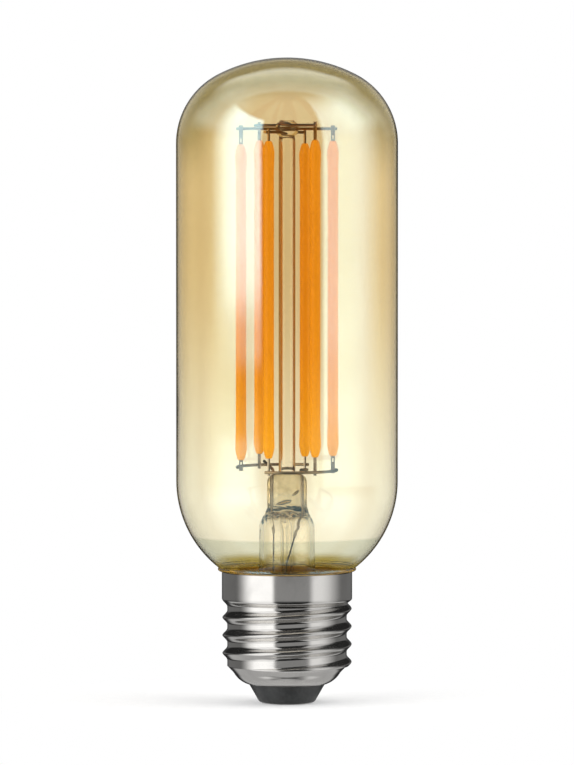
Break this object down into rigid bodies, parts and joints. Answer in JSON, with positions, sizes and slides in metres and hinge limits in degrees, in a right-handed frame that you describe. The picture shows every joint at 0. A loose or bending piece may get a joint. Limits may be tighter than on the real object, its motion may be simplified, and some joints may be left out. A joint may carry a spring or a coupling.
{
  "type": "tubular light bulb",
  "caption": "Tubular amber glass bulb with upright filament strips round a glass rod, and a threaded metal screw cap.",
  "frame": {"origin": "middle of the centre contact's outer face, on the bulb's axis", "axes": "+Z along the bulb's axis from the cap to the dome; -Y is the front, +X is to the right of it"},
  "size_m": [0.045, 0.045, 0.1311],
  "materials": {
    "amber_glass": "clear, amber coat that fades toward the cap",
    "clear_glass": "clear",
    "filament_coat": "satin, orange-yellow",
    "tab_metal": "bright",
    "nickel_wire": "drawn",
    "copper_wire": "drawn",
    "shell_metal": "polished nickel plate",
    "contact_metal": "stamped",
    "black_insulator": "satin black",
    "cement": "matte",
    "board": "satin green",
    "black_mould": "matte black",
    "capacitor_sleeve": "gloss",
    "resistor_body": "satin"
  },
  "bodies": {
    "root": {"glass_bulb": "amber_glass", "glass_stem": "clear_glass", "exhaust_tube": "clear_glass", "support_rod": "clear_glass", "filament_1": "filament_coat", "filament_2": "filament_coat", "filament_3": "filament_coat", "filament_4": "filament_coat", "filament_5": "filament_coat", "filament_6": "filament_coat", "bottom_tab_1": "tab_metal", "bottom_tab_2": "tab_metal", "bottom_tab_3": "tab_metal", "bottom_tab_4": "tab_metal", "bottom_tab_5": "tab_metal", "bottom_tab_6": "tab_metal", "top_tab_1": "tab_metal", "top_tab_2": "tab_metal", "top_tab_3": "tab_metal", "top_tab_4": "tab_metal", "top_tab_5": "tab_metal", "top_tab_6": "tab_metal", "cross_wire_1": "nickel_wire", "cross_wire_2": "nickel_wire", "cross_wire_3": "nickel_wire", "back_frame_wire": "nickel_wire", "front_frame_wire": "nickel_wire", "left_inner_lead": "nickel_wire", "right_inner_lead": "nickel_wire", "left_outer_lead": "copper_wire", "right_outer_lead": "copper_wire", "contact_wire": "copper_wire", "shell_wire": "copper_wire", "screw_shell": "shell_metal", "centre_contact": "contact_metal", "insulator": "black_insulator", "cement": "cement", "driver_board": "board", "bridge_rectifier": "black_mould", "driver_chip": "black_mould", "smoothing_capacitor": "capacitor_sleeve", "fuse_resistor": "resistor_body"}
  },
  "joints": []
}
